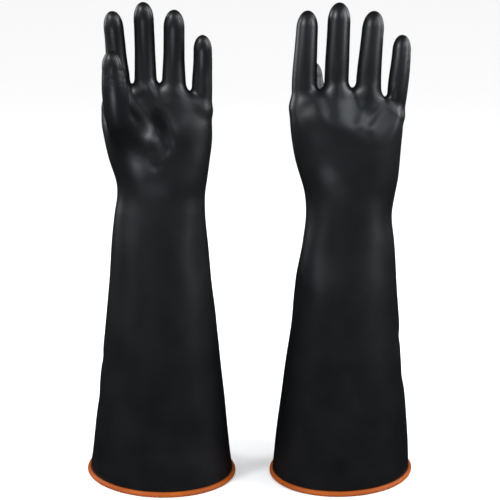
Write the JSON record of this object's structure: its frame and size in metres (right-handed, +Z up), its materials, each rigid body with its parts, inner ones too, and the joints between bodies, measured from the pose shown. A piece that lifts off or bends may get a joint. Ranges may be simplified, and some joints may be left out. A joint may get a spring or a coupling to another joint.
{
  "type": "electrical insulating gloves",
  "caption": "Pair of long dipped-rubber insulating gloves: black outer ply, orange liner ply, flared sleeve with rolled orange cuff bead, bending wrist, fingers and thumbs.",
  "frame": {"origin": "centre of the floor area under the pair, on the plane the cuffs stand on", "axes": "+Z up from the cuffs to the fingertips, +X from the left glove to the right glove, +Y the way the left glove's back faces and the right glove's palm faces"},
  "size_m": [0.324, 0.1438, 0.46],
  "materials": {
    "outer_rubber": "satin black dipped natural rubber, smooth, soft broad highlights",
    "liner_rubber": "matt orange contrast ply, seen inside the cuff",
    "bead_rubber": "satin orange rolled edge"
  },
  "bodies": {
    "left_sleeve": {"left_sleeve_outer": "outer_rubber", "left_sleeve_liner": "liner_rubber", "left_cuff_bead": "bead_rubber"},
    "left_hand": {"left_hand_outer": "outer_rubber", "left_hand_liner": "liner_rubber"},
    "left_index_base": {"left_index_base_outer": "outer_rubber", "left_index_base_liner": "liner_rubber"},
    "left_index_tip": {"left_index_tip_outer": "outer_rubber", "left_index_tip_liner": "liner_rubber"},
    "left_middle_base": {"left_middle_base_outer": "outer_rubber", "left_middle_base_liner": "liner_rubber"},
    "left_middle_tip": {"left_middle_tip_outer": "outer_rubber", "left_middle_tip_liner": "liner_rubber"},
    "left_ring_base": {"left_ring_base_outer": "outer_rubber", "left_ring_base_liner": "liner_rubber"},
    "left_ring_tip": {"left_ring_tip_outer": "outer_rubber", "left_ring_tip_liner": "liner_rubber"},
    "left_pinky_base": {"left_pinky_base_outer": "outer_rubber", "left_pinky_base_liner": "liner_rubber"},
    "left_pinky_tip": {"left_pinky_tip_outer": "outer_rubber", "left_pinky_tip_liner": "liner_rubber"},
    "left_thumb_base": {"left_thumb_base_outer": "outer_rubber", "left_thumb_base_liner": "liner_rubber"},
    "left_thumb_tip": {"left_thumb_tip_outer": "outer_rubber", "left_thumb_tip_liner": "liner_rubber"},
    "right_sleeve": {"right_sleeve_outer": "outer_rubber", "right_sleeve_liner": "liner_rubber", "right_cuff_bead": "bead_rubber"},
    "right_hand": {"right_hand_outer": "outer_rubber", "right_hand_liner": "liner_rubber"},
    "right_index_base": {"right_index_base_outer": "outer_rubber", "right_index_base_liner": "liner_rubber"},
    "right_index_tip": {"right_index_tip_outer": "outer_rubber", "right_index_tip_liner": "liner_rubber"},
    "right_middle_base": {"right_middle_base_outer": "outer_rubber", "right_middle_base_liner": "liner_rubber"},
    "right_middle_tip": {"right_middle_tip_outer": "outer_rubber", "right_middle_tip_liner": "liner_rubber"},
    "right_ring_base": {"right_ring_base_outer": "outer_rubber", "right_ring_base_liner": "liner_rubber"},
    "right_ring_tip": {"right_ring_tip_outer": "outer_rubber", "right_ring_tip_liner": "liner_rubber"},
    "right_pinky_base": {"right_pinky_base_outer": "outer_rubber", "right_pinky_base_liner": "liner_rubber"},
    "right_pinky_tip": {"right_pinky_tip_outer": "outer_rubber", "right_pinky_tip_liner": "liner_rubber"},
    "right_thumb_base": {"right_thumb_base_outer": "outer_rubber", "right_thumb_base_liner": "liner_rubber"},
    "right_thumb_tip": {"right_thumb_tip_outer": "outer_rubber", "right_thumb_tip_liner": "liner_rubber"}
  },
  "joints": [
    {"name": "pair_separation", "type": "slide", "parent": "left_sleeve", "child": "right_sleeve", "axis": [1, 0, 0], "range_m": [0, 0.25]},
    {"name": "left_wrist_flex", "type": "hinge", "parent": "left_sleeve", "child": "left_hand", "pos_m": [-0.0848, -0.0315, 0.276], "axis": [1, 0, 0], "range_deg": [0, 50], "stiffness_Nm_per_rad": 3},
    {"name": "left_index_base_flex", "type": "hinge", "parent": "left_hand", "child": "left_index_base", "pos_m": [-0.12259, -0.01141, 0.39247], "axis": [1, -0.0003, 0.0056], "range_deg": [0, 45], "stiffness_Nm_per_rad": 0.4},
    {"name": "left_index_tip_flex", "type": "hinge", "parent": "left_index_base", "child": "left_index_tip", "pos_m": [-0.12342, -0.01234, 0.42279], "axis": [0.9989, -0.0062, 0.0471], "range_deg": [0, 60], "stiffness_Nm_per_rad": 0.12},
    {"name": "left_middle_base_flex", "type": "hinge", "parent": "left_hand", "child": "left_middle_base", "pos_m": [-0.0962, -0.01034, 0.3936], "axis": [1, 0.0001, -0.0034], "range_deg": [0, 65], "stiffness_Nm_per_rad": 0.4},
    {"name": "left_middle_tip_flex", "type": "hinge", "parent": "left_middle_base", "child": "left_middle_tip", "pos_m": [-0.09623, -0.01184, 0.42398], "axis": [1, -0.0006, 0.0055], "range_deg": [0, 80], "stiffness_Nm_per_rad": 0.12},
    {"name": "left_ring_base_flex", "type": "hinge", "parent": "left_hand", "child": "left_ring_base", "pos_m": [-0.0698, -0.01111, 0.39349], "axis": [0.9997, 0.0011, -0.0234], "range_deg": [0, 80], "stiffness_Nm_per_rad": 0.4},
    {"name": "left_ring_tip_flex", "type": "hinge", "parent": "left_ring_base", "child": "left_ring_tip", "pos_m": [-0.06907, -0.0126, 0.42276], "axis": [0.9997, 0.0033, -0.025], "range_deg": [0, 80], "stiffness_Nm_per_rad": 0.12},
    {"name": "left_pinky_base_flex", "type": "hinge", "parent": "left_hand", "child": "left_pinky_base", "pos_m": [-0.04354, -0.01005, 0.38687], "axis": [0.9979, 0.005, -0.0642], "range_deg": [0, 80], "stiffness_Nm_per_rad": 0.4},
    {"name": "left_pinky_tip_flex", "type": "hinge", "parent": "left_pinky_base", "child": "left_pinky_tip", "pos_m": [-0.04266, -0.01139, 0.40662], "axis": [0.9998, 0.0035, -0.021], "range_deg": [0, 80], "stiffness_Nm_per_rad": 0.12},
    {"name": "left_thumb_base_swing", "type": "hinge", "parent": "left_hand", "child": "left_thumb_base", "pos_m": [-0.13019, -0.03984, 0.35959], "axis": [0, -0.9333, -0.359], "range_deg": [0, 50], "stiffness_Nm_per_rad": 0.4},
    {"name": "left_thumb_tip_flex", "type": "hinge", "parent": "left_thumb_base", "child": "left_thumb_tip", "pos_m": [-0.10782, -0.05017, 0.38661], "axis": [0, -0.9638, -0.2668], "range_deg": [-50, 0], "stiffness_Nm_per_rad": 0.12},
    {"name": "right_wrist_flex", "type": "hinge", "parent": "right_sleeve", "child": "right_hand", "pos_m": [0.0952, 0.0315, 0.276], "axis": [-1, 0, 0], "range_deg": [0, 50], "stiffness_Nm_per_rad": 3},
    {"name": "right_index_base_flex", "type": "hinge", "parent": "right_hand", "child": "right_index_base", "pos_m": [0.05257, 0.01167, 0.38851], "axis": [-1, 0.0001, 0.0022], "range_deg": [0, 45], "stiffness_Nm_per_rad": 0.4},
    {"name": "right_index_tip_flex", "type": "hinge", "parent": "right_index_base", "child": "right_index_tip", "pos_m": [0.05333, 0.01296, 0.42275], "axis": [-0.9992, 0.0054, 0.0408], "range_deg": [0, 60], "stiffness_Nm_per_rad": 0.12},
    {"name": "right_middle_base_flex", "type": "hinge", "parent": "right_hand", "child": "right_middle_base", "pos_m": [0.08173, 0.01162, 0.38998], "axis": [-0.9996, 0.001, 0.0267], "range_deg": [0, 65], "stiffness_Nm_per_rad": 0.4},
    {"name": "right_middle_tip_flex", "type": "hinge", "parent": "right_middle_base", "child": "right_middle_tip", "pos_m": [0.08281, 0.01315, 0.42385], "axis": [-0.9994, 0.004, 0.0355], "range_deg": [0, 80], "stiffness_Nm_per_rad": 0.12},
    {"name": "right_ring_base_flex", "type": "hinge", "parent": "right_hand", "child": "right_ring_base", "pos_m": [0.11172, 0.01188, 0.38988], "axis": [-0.9985, 0.0024, 0.054], "range_deg": [0, 80], "stiffness_Nm_per_rad": 0.4},
    {"name": "right_ring_tip_flex", "type": "hinge", "parent": "right_ring_base", "child": "right_ring_tip", "pos_m": [0.11401, 0.0132, 0.4227], "axis": [-0.9967, 0.0107, 0.0808], "range_deg": [0, 80], "stiffness_Nm_per_rad": 0.12},
    {"name": "right_pinky_base_flex", "type": "hinge", "parent": "right_hand", "child": "right_pinky_base", "pos_m": [0.13886, 0.01007, 0.38186], "axis": [-0.9926, 0.0082, 0.1209], "range_deg": [0, 80], "stiffness_Nm_per_rad": 0.4},
    {"name": "right_pinky_tip_flex", "type": "hinge", "parent": "right_pinky_base", "child": "right_pinky_tip", "pos_m": [0.14151, 0.01167, 0.40665], "axis": [-0.9965, 0.0138, 0.0827], "range_deg": [0, 80], "stiffness_Nm_per_rad": 0.12},
    {"name": "right_thumb_base_swing", "type": "hinge", "parent": "right_hand", "child": "right_thumb_base", "pos_m": [0.04883, 0.04037, 0.35978], "axis": [0, -0.9037, 0.4281], "range_deg": [0, 50], "stiffness_Nm_per_rad": 0.4},
    {"name": "right_thumb_tip_flex", "type": "hinge", "parent": "right_thumb_base", "child": "right_thumb_tip", "pos_m": [0.07362, 0.04855, 0.37677], "axis": [0, -0.9401, 0.3408], "range_deg": [-50, 0], "stiffness_Nm_per_rad": 0.12}
  ]
}
